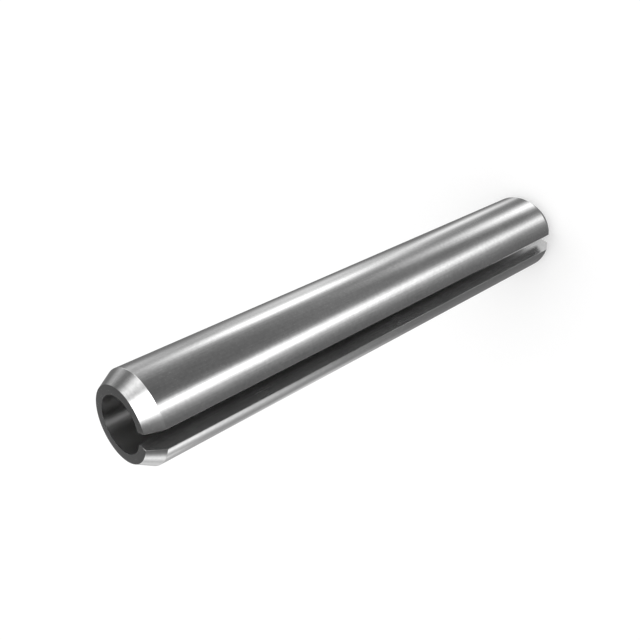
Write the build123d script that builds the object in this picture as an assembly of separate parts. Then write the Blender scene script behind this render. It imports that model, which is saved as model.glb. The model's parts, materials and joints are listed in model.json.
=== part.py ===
from build123d import *
import math
import os

# Slotted spring pin, 12 mm nominal by 85 mm long, heavy duty, in its free state before it is driven in.
# It is one strip of spring steel rolled into a tube that does not quite close. The sheared edges of the
# strip leave a straight slot along the whole length, and both ends are turned to a lead-in chamfer.
# The turned corners and the slot's edges are eased, and the mouth of the bore is left sharp.
# The pin stands on one end. Z is its axis, the origin is on that axis at the lower end face, and the
# middle of the slot faces -Y.

# Driving dimensions, in millimetres and degrees.
free_diameter = 12.75
pin_length = 85.0
strip_thickness = 2.55
slot_angle = 25.0
chamfer_length = 2.2
chamfer_angle = 30.0
turned_edge_radius = 0.06
slot_edge_radius = 0.05

# Sizes that follow.
outer_radius = free_diameter / 2
bore_radius = outer_radius - strip_thickness
face_radius = outer_radius - chamfer_length * math.tan(math.radians(chamfer_angle))
wrap_angle = 360 - slot_angle


def strip_section():
    """One cut through the wall of the tube, in the XZ plane, with both chamfers and eased outer corners."""
    outline = Polyline(
        (bore_radius, 0),
        (face_radius, 0),
        (outer_radius, chamfer_length),
        (outer_radius, pin_length - chamfer_length),
        (face_radius, pin_length),
        (bore_radius, pin_length),
        close=True,
    )
    wall = make_face(Plane.XZ * outline)
    bore_corners = wall.vertices().group_by(Axis.X)[0]
    return fillet(wall.vertices() - bore_corners, turned_edge_radius)


def rolled_pin():
    """The wall turned about Z from one lip of the slot round to the other."""
    slot_middle = Rotation(0, 0, slot_angle / 2 - 90)
    tube = revolve(slot_middle * strip_section(), Axis.Z, wrap_angle)
    lips = tube.faces().filter_by(GeomType.PLANE).filter_by(lambda face: abs(face.normal_at().Z) < 0.5)
    return fillet(lips.edges(), slot_edge_radius)


os.makedirs("parts", exist_ok=True)
export_step(rolled_pin(), "parts/slotted_sleeve.step")
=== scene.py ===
import bmesh
import bpy
import json
import math
from mathutils import Matrix, Vector


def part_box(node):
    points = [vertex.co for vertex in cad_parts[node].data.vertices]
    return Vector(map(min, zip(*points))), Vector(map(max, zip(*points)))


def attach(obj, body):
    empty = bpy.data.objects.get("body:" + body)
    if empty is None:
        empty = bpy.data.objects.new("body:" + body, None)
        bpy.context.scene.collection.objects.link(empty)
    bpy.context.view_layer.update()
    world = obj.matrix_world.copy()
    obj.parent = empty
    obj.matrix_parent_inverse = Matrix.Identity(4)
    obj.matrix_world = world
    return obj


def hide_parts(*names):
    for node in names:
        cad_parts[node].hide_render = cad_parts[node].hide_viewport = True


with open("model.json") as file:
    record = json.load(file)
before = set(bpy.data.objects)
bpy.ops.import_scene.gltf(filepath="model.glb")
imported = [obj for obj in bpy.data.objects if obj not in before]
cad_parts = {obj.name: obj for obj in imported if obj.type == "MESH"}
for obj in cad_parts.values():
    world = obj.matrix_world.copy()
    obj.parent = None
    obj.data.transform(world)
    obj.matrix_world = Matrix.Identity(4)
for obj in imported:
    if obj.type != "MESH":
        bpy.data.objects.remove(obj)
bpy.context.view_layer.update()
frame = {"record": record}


# The sleeve. The whole pin is one strip of hardened spring steel, rolled round until its sheared edges
# nearly meet. Both ends are turned to a 30 degree chamfer, so that the pin starts in its hole. The outer
# edges are just eased, and the mouth of the bore is sharp. Shaped in millimetres, scaled to metres last.
mm_per_metre = 1000
mounts = {mount["name"]: mount for mount in frame["record"]["mounts"]}
outer_radius = mounts["outside"]["dims"]["r_mm"]
bore_radius = mounts["bore"]["dims"]["r_mm"]
pin_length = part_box("slotted_sleeve")[1].z * mm_per_metre
chamfer_length = 2.2
chamfer_angle = math.radians(30)
slot_angle = math.radians(25)
turned_edge_radius = 0.06
turned_edge_facets = 4
slot_edge_radius = 0.05
slot_edge_facets = 3
degrees_per_facet = 2.5
sharp_angle = math.radians(45)
face_radius = outer_radius - chamfer_length * math.tan(chamfer_angle)
wrap_angle = 2 * math.pi - slot_angle
wrap_facets = round(math.degrees(wrap_angle) / degrees_per_facet)


def ease_corner(shape, vert, turn, radius):
    """Rounds one corner of a flat profile, where turn is how far its outline turns there."""
    bmesh.ops.bevel(shape, geom=[vert], offset=radius * math.tan(turn / 2), affect="VERTICES",
                    segments=turned_edge_facets, profile=0.5, material=-1)


def place_piece(name, shape):
    """Turns a finished shape into a piece of the scene."""
    mesh = bpy.data.meshes.new(name)
    shape.to_mesh(mesh)
    shape.free()
    piece = bpy.data.objects.new(name, mesh)
    bpy.context.scene.collection.objects.link(piece)
    return piece


# A cut through the wall, with its four outer corners eased.
rolling = bmesh.new()
bore_corners = [rolling.verts.new((bore_radius, 0, height)) for height in (pin_length, 0)]
face_corners = [rolling.verts.new((face_radius, 0, height)) for height in (0, pin_length)]
chamfer_corners = [rolling.verts.new((outer_radius, 0, height))
                   for height in (chamfer_length, pin_length - chamfer_length)]
rolling.faces.new([*bore_corners, face_corners[0], *chamfer_corners, face_corners[1]])
for vert in face_corners:
    ease_corner(rolling, vert, math.radians(90) - chamfer_angle, turned_edge_radius)
for vert in chamfer_corners:
    ease_corner(rolling, vert, chamfer_angle, turned_edge_radius)

# The cut is turned round the axis from one wall of the slot to the other. The two walls are the only faces
# with more than four corners, and their edges are eased as well.
to_first_wall = Matrix.Rotation(slot_angle / 2 - math.pi / 2, 3, "Z")
bmesh.ops.rotate(rolling, verts=rolling.verts, cent=(0, 0, 0), matrix=to_first_wall)
cut = rolling.faces[:] + rolling.edges[:] + rolling.verts[:]
bmesh.ops.spin(rolling, geom=cut, cent=(0, 0, 0), axis=(0, 0, 1), angle=wrap_angle, steps=wrap_facets)
slot_walls = [face for face in rolling.faces if len(face.verts) > 4]
slot_edges = [edge for wall in slot_walls for edge in wall.edges]
bmesh.ops.bevel(rolling, geom=slot_edges, offset=slot_edge_radius, affect="EDGES",
                segments=slot_edge_facets, profile=0.5, material=-1)
bmesh.ops.recalc_face_normals(rolling, faces=rolling.faces)
bmesh.ops.scale(rolling, vec=[1 / mm_per_metre] * 3, verts=rolling.verts)
for face in rolling.faces:
    face.smooth = True
for edge in rolling.edges:
    edge.smooth = edge.calc_face_angle() < sharp_angle

sleeve = place_piece("sleeve", rolling)
broad_faces_lead = sleeve.modifiers.new("broad faces lead", "WEIGHTED_NORMAL")
broad_faces_lead.mode = "FACE_AREA"
broad_faces_lead.weight = 80
broad_faces_lead.keep_sharp = True
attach(sleeve, "root")
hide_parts("slotted_sleeve")


# Its steel. The strip comes bright from the rolls, with faint lines along its length. The ends are faced
# and chamfered on a lathe, which leaves fine rings, and the bore and the sheared walls of the slot are
# duller, with a film of oil. The end faces, the bore and the slot walls are also painted darker, as
# painted shade. Tumbling polishes the edges a little.
steel_grey = 0.5
mark_range = (0.25, 0.75)
mark_tone = 0.02
mark_depth = 2.5e-6
cloud_range = (0.3, 0.7)
smudge_tone = 0.015
grain_tone = 0.022
worn_range = (0.3, 0.6)
worn_tone = 0.06
worn_width = 0.14
# These three factors paint shade: they darken the end faces, the bore and the slot walls.
end_painted_shade = 0.62
bore_painted_shade = 0.92
slot_wall_painted_shade = 0.88
outside_roughness = 0.09
sheen_change = (-0.02, 0.03)
end_dullness = 0.1
bore_dullness = 0.2
slot_wall_dullness = 0.14
slot_wall_metal = 0.9


def feed_input(tree, socket, feed):
    """Feeds an input from another node or with a plain value. None leaves it as it is."""
    if isinstance(feed, bpy.types.NodeSocket):
        tree.links.new(feed, socket)
    elif feed is not None:
        socket.default_value = feed


def add_node(tree, kind, *feeds, **settings):
    """Adds a shader node, sets it up, and feeds its inputs in order."""
    node = tree.nodes.new("ShaderNode" + kind)
    for name, value in settings.items():
        setattr(node, name, value)
    for socket, feed in zip(node.inputs, feeds):
        feed_input(tree, socket, feed)
    return node


def calc(tree, operation, *feeds):
    """One step of arithmetic on values."""
    return add_node(tree, "Math", *feeds, operation=operation).outputs[0]


def sum_of_squares(tree, first, second):
    """Squares two values and adds them up."""
    return calc(tree, "ADD", calc(tree, "MULTIPLY", first, first), calc(tree, "MULTIPLY", second, second))


def mix(tree, share, first, second):
    """Goes from the first value to the second as the share goes from 0 to 1."""
    return add_node(tree, "Mix", share, None, first, second).outputs[0]


def fade(tree, value, start, end, low=0.0, high=1.0):
    """Goes smoothly from low to high as the value goes from start to end."""
    node = add_node(tree, "MapRange", value, start, end, low, high, interpolation_type="SMOOTHSTEP")
    return node.outputs[0]


def cloud(tree, place, scale, detail, roughness):
    """A soft random pattern, mostly between 0.25 and 0.75."""
    return add_node(tree, "TexNoise", place, None, scale, detail, roughness).outputs["Fac"]


def new_group(name, inputs, outputs):
    """A node group with named inputs and outputs, and its two end nodes."""
    group = bpy.data.node_groups.new(name, "ShaderNodeTree")
    for label, kind in inputs.items():
        group.interface.new_socket(label, in_out="INPUT", socket_type="NodeSocket" + kind)
    for label, kind in outputs.items():
        group.interface.new_socket(label, in_out="OUTPUT", socket_type="NodeSocket" + kind)
    return group, group.nodes.new("NodeGroupInput").outputs, group.nodes.new("NodeGroupOutput").inputs


def use_group(tree, group, **feeds):
    """Places a node group in a material, with its own values."""
    node = tree.nodes.new("ShaderNodeGroup")
    node.node_tree = group
    for label, feed in feeds.items():
        feed_input(tree, node.inputs[label.replace("_", " ")], feed)
    return node.outputs


tool_lines, given, result = new_group("tool_lines", {"Across": "Float", "Along": "Float", "Width": "Float",
                                                     "Length": "Float"}, {"Height": "Float"})
stretched = add_node(tool_lines, "CombineXYZ", calc(tool_lines, "DIVIDE", given["Across"], given["Width"]),
                     calc(tool_lines, "DIVIDE", given["Along"], given["Length"])).outputs[0]
lines = cloud(tool_lines, stretched, scale=1.0, detail=3.0, roughness=0.6)
tool_lines.links.new(lines, result["Height"])

worn_edge, given, result = new_group("worn_edge", {"From one face": "Float", "From the other": "Float",
                                                   "Width": "Float"}, {"Wear": "Float"})
off_edge = add_node(worn_edge, "CombineXYZ", given["From one face"], given["From the other"]).outputs[0]
off_edge = add_node(worn_edge, "VectorMath", off_edge, operation="LENGTH").outputs["Value"]
worn_edge.links.new(fade(worn_edge, off_edge, given["Width"], 0.0), result["Wear"])

steel = bpy.data.materials.new("spring_steel")
steel.use_nodes = True
look = steel.node_tree
sleeve.data.materials.append(steel)

# The spot on the pin, and how far it is from each of the pin's faces, in millimetres.
in_metres = add_node(look, "TexCoord").outputs["Object"]
to_millimetres = add_node(look, "VectorMath", in_metres, operation="SCALE")
to_millimetres.inputs["Scale"].default_value = mm_per_metre
spot = to_millimetres.outputs["Vector"]
side, back, height = add_node(look, "SeparateXYZ", spot).outputs
radius = calc(look, "SQRT", sum_of_squares(look, side, back))
around = calc(look, "MULTIPLY", calc(look, "ARCTAN2", side, back), outer_radius)
from_end = calc(look, "MINIMUM", height, calc(look, "SUBTRACT", pin_length, height))
off_slot = calc(look, "MULTIPLY", calc(look, "ABSOLUTE", side), math.cos(slot_angle / 2))
from_slot = calc(look, "ADD", off_slot, calc(look, "MULTIPLY", back, math.sin(slot_angle / 2)))
from_bore = calc(look, "SUBTRACT", radius, bore_radius)
under_outside = calc(look, "SUBTRACT", outer_radius, radius)
cone_radius = calc(look, "ADD", calc(look, "MULTIPLY", from_end, math.tan(chamfer_angle)), face_radius)
under_chamfer = calc(look, "MULTIPLY", calc(look, "SUBTRACT", cone_radius, radius), math.cos(chamfer_angle))
under_skin = calc(look, "MINIMUM", under_outside, under_chamfer)

# Each zone, with its gloss and its painted shade, ends within a few hundredths of a millimetre of its edge.
in_bore = fade(look, from_bore, 0.06, 0.02)
on_slot_wall = fade(look, from_slot, 0.05, 0.01)
on_end = fade(look, from_end, 0.03, 0.01)
on_chamfer = fade(look, under_chamfer, 0.04, 0.02)
turned = calc(look, "MAXIMUM", on_end, on_chamfer)
outer = calc(look, "SUBTRACT", 1.0, calc(look, "MAXIMUM", in_bore, on_slot_wall))

# The drawn lines run along the strip, and the lathe's rings run round it. The bore is plain.
across_strip = mix(look, on_slot_wall, around, radius)
drawn = use_group(look, tool_lines, Across=across_strip, Along=height, Width=0.2, Length=7.0)["Height"]
path_out = calc(look, "ADD", radius, from_end)
rings = use_group(look, tool_lines, Across=path_out, Along=around, Width=0.12, Length=9.0)["Height"]
marks = mix(look, in_bore, mix(look, turned, drawn, rings), 0.5)
smudge = cloud(look, spot, scale=0.16, detail=3.0, roughness=0.5)
grain = cloud(look, spot, scale=2.2, detail=2.0, roughness=0.6)

# Both distances of a pair are zero along one of the pin's edges, and the steel is worn in patches near it.
past_chamfer = calc(look, "SUBTRACT", from_end, chamfer_length)
past_end_face = calc(look, "SUBTRACT", radius, face_radius)
edges = [(under_outside, past_chamfer), (past_end_face, from_end), (from_slot, under_skin),
         (from_slot, from_bore), (from_slot, from_end)]
wear = 0.0
for one_face, the_other in edges:
    worn = use_group(look, worn_edge, From_one_face=one_face, From_the_other=the_other, Width=worn_width)
    wear = calc(look, "MAXIMUM", worn["Wear"], wear)
wear = calc(look, "MULTIPLY", wear, fade(look, smudge, *worn_range))

# The marks and smudges change the tone and the gloss a little. Each zone of the pin has its own gloss, and
# the end faces, the bore and the slot walls are painted darker, as painted shade.
tone = calc(look, "ADD", fade(look, marks, *mark_range, -mark_tone, mark_tone),
            fade(look, smudge, *cloud_range, -smudge_tone, smudge_tone))
speckle = fade(look, grain, *cloud_range, -grain_tone, grain_tone)
tone = calc(look, "ADD", tone, calc(look, "MULTIPLY", speckle, outer))
tone = calc(look, "ADD", tone, calc(look, "MULTIPLY", wear, worn_tone))
tone = calc(look, "ADD", tone, steel_grey)
rough = calc(look, "ADD", fade(look, marks, *mark_range, *sheen_change),
             fade(look, smudge, *cloud_range, *sheen_change))
rough = calc(look, "ADD", rough, outside_roughness)
# Each zone's tone is multiplied by its painted shade factor, and its roughness is raised.
for zone, zone_painted_shade, dullness in [(on_end, end_painted_shade, end_dullness), (in_bore, bore_painted_shade, bore_dullness),
                              (on_slot_wall, slot_wall_painted_shade, slot_wall_dullness)]:
    tone = calc(look, "MULTIPLY", tone, fade(look, zone, 0, 1, 1.0, zone_painted_shade))
    rough = calc(look, "ADD", rough, calc(look, "MULTIPLY", zone, dullness))

shader = look.nodes["Principled BSDF"]
look.links.new(add_node(look, "CombineColor", tone, tone, tone).outputs[0], shader.inputs["Base Color"])
look.links.new(rough, shader.inputs["Roughness"])
look.links.new(fade(look, on_slot_wall, 0, 1, 1.0, slot_wall_metal), shader.inputs["Metallic"])
relief = add_node(look, "Bump")
relief.inputs["Strength"].default_value = 1
relief.inputs["Distance"].default_value = mark_depth
look.links.new(calc(look, "MULTIPLY", marks, outer), relief.inputs["Height"])
look.links.new(relief.outputs[0], shader.inputs["Normal"])


# The table. A plain pale sheet under the pin, which keeps the soft shadow at its foot. The camera sees it
# lifted to white. The steel doesn't mirror it, because that would turn the standing pin flat white.
table_size = 4
sheet_grey = (0.65, 0.65, 0.65, 1)
white = (1, 1, 1, 1)
sheet_lift = 0.39


def seen_directly(tree):
    """One for what the camera sees, straight or through glass, and zero for all other rays."""
    ray = add_node(tree, "LightPath").outputs
    return calc(tree, "MAXIMUM", ray["Is Camera Ray"], ray["Is Transmission Ray"])


laying = bmesh.new()
bmesh.ops.create_grid(laying, x_segments=1, y_segments=1, size=table_size / 2)
table = place_piece("table", laying)
table.visible_glossy = False

white_sheet = bpy.data.materials.new("white_sheet")
white_sheet.use_nodes = True
sheet_look = white_sheet.node_tree
sheet_shader = sheet_look.nodes["Principled BSDF"]
sheet_shader.inputs["Base Color"].default_value = sheet_grey
sheet_shader.inputs["Roughness"].default_value = 1
sheet_shader.inputs["Specular IOR Level"].default_value = 0
sheet_shader.inputs["Emission Color"].default_value = white
lift = calc(sheet_look, "MULTIPLY", seen_directly(sheet_look), sheet_lift)
sheet_look.links.new(lift, sheet_shader.inputs["Emission Strength"])
table.data.materials.append(white_sheet)


# The studio. A dim room with soft boxes round it, which the steel mirrors as its long bands. All else in it
# is lit evenly from every side. One broad lamp hangs overhead, and the camera sees plain white behind the
# pin.
room_brightness = 0.22
even_grey = (0.78, 0.78, 0.78, 1)
overhead_strength = 0.25 * math.pi
overhead_spread = math.radians(50)
overhead_tilt = math.radians(20)
overhead_turn = math.radians(60)
world = bpy.data.worlds.new("studio")
bpy.context.scene.world = world
world.use_nodes = True
world.cycles.sampling_method = "NONE"
room = world.node_tree
room.nodes.clear()

soft_box, given, result = new_group("soft_box", {"Direction": "Vector", "Edge": "Float",
                                                 "Brightness": "Float"}, {"Light": "Float"})
ahead, sideways, upward = add_node(soft_box, "SeparateXYZ", given["Direction"]).outputs
fall_off = calc(soft_box, "POWER", sum_of_squares(soft_box, sideways, upward), given["Edge"])
glow = calc(soft_box, "EXPONENT", calc(soft_box, "MULTIPLY", fall_off, -1.0))
glow = calc(soft_box, "MULTIPLY", glow, calc(soft_box, "GREATER_THAN", ahead, 0.0))
soft_box.links.new(calc(soft_box, "MULTIPLY", glow, given["Brightness"]), result["Light"])
direction = add_node(room, "TexCoord").outputs["Generated"]
soft_boxes = []


def hang_soft_box(azimuth, elevation, width, height, brightness, turn=0, edge=1.0):
    """Hangs a soft box in a direction from the pin. Angles are in degrees, and sizes are half angles."""
    box = add_node(room, "Mapping", direction, vector_type="TEXTURE")
    box.inputs["Rotation"].default_value = [math.radians(a) for a in (turn, -elevation, azimuth)]
    box.inputs["Scale"].default_value = (1, math.sin(math.radians(width)), math.sin(math.radians(height)))
    light = use_group(room, soft_box, Direction=box.outputs[0], Edge=edge, Brightness=brightness)["Light"]
    soft_boxes.append(light)


# A strip light beside the slot makes the long bright band there. It bends away at its foot, and a broad
# soft box stands behind it.
hang_soft_box(305, -30, 7, 18, 2.4, turn=17)
hang_soft_box(317, -58, 6, 12, 1.0, turn=20)
hang_soft_box(295, -21, 14, 40, 0.7, turn=17)
# A window high in front, and two boxes beside the pin. The chamfer mirrors all three.
hang_soft_box(324, 45, 26, 25, 4.5, edge=2.0)
hang_soft_box(22, 7, 13, 22, 3.5, turn=32)
hang_soft_box(66, -10, 13, 14, 2.0, turn=50)
# A faint glow in the dark between the long bands.
hang_soft_box(346, -41, 14, 6, 0.08)
# A low lamp beside the pin in its own glow, and two thin strips next to it.
hang_soft_box(44, -36, 8, 7, 2.0)
hang_soft_box(50, -39, 22, 10, 0.55)
hang_soft_box(73, -39, 12, 6, 0.6)
hang_soft_box(66, -50, 11, 4, 1.1, turn=-20)
# A box close to the floor, which lights the foot.
hang_soft_box(14, -59, 8, 11, 2.5, turn=25)
# A lamp behind the pin in its own glow, and a small box above it.
hang_soft_box(197, -24, 8, 7, 1.3)
hang_soft_box(195, -31, 14, 8, 0.5)
hang_soft_box(183, 5, 12, 8, 1.2)
# The back wall's soft light, and two thin strips on it.
hang_soft_box(160, -10, 25, 18, 0.75)
hang_soft_box(152, -36, 13, 5, 0.5, turn=-15)
hang_soft_box(173, -25, 8, 2, 0.5)

seen_by_steel = room_brightness
for light in soft_boxes:
    seen_by_steel = calc(room, "ADD", light, seen_by_steel)
mirrored = add_node(room, "Background", seen_by_steel).outputs[0]
even_light = add_node(room, "Background", even_grey).outputs[0]
plain_white = add_node(room, "Background", white).outputs[0]
in_the_steel = add_node(room, "LightPath").outputs["Is Glossy Ray"]
lit = add_node(room, "MixShader", in_the_steel, even_light, mirrored).outputs[0]
shown = add_node(room, "MixShader", seen_directly(room), lit, plain_white).outputs[0]
add_node(room, "OutputWorld", shown)

overhead = bpy.data.objects.new("overhead", bpy.data.lights.new("overhead", "SUN"))
overhead.data.energy = overhead_strength
overhead.data.angle = overhead_spread
overhead.rotation_euler = (overhead_tilt, 0, overhead_turn)
bpy.context.scene.collection.objects.link(overhead)


# The camera. It looks down on the standing pin from its slot side, and is rolled until the pin lies across
# the picture with the upper end at the lower left.
aim = Vector((0.0008, 0.0006, 0.0512))
distance = 0.1206
azimuth = math.radians(37.85)
elevation = math.radians(38.49)
roll = math.radians(-115.5)
focal_length = 47.76
nearest_in_view = 0.001
camera = bpy.data.objects.new("camera", bpy.data.cameras.new("camera"))
bpy.context.scene.collection.objects.link(camera)
facing = (Matrix.Rotation(azimuth, 4, "Z") @ Matrix.Rotation(math.pi / 2 - elevation, 4, "X")
          @ Matrix.Rotation(roll, 4, "Z"))
camera.matrix_world = Matrix.Translation(aim) @ facing @ Matrix.Translation((0, 0, distance))
camera.data.lens = focal_length
camera.data.clip_start = nearest_in_view
bpy.context.scene.camera = camera

bpy.context.scene.view_settings.view_transform = "Standard"
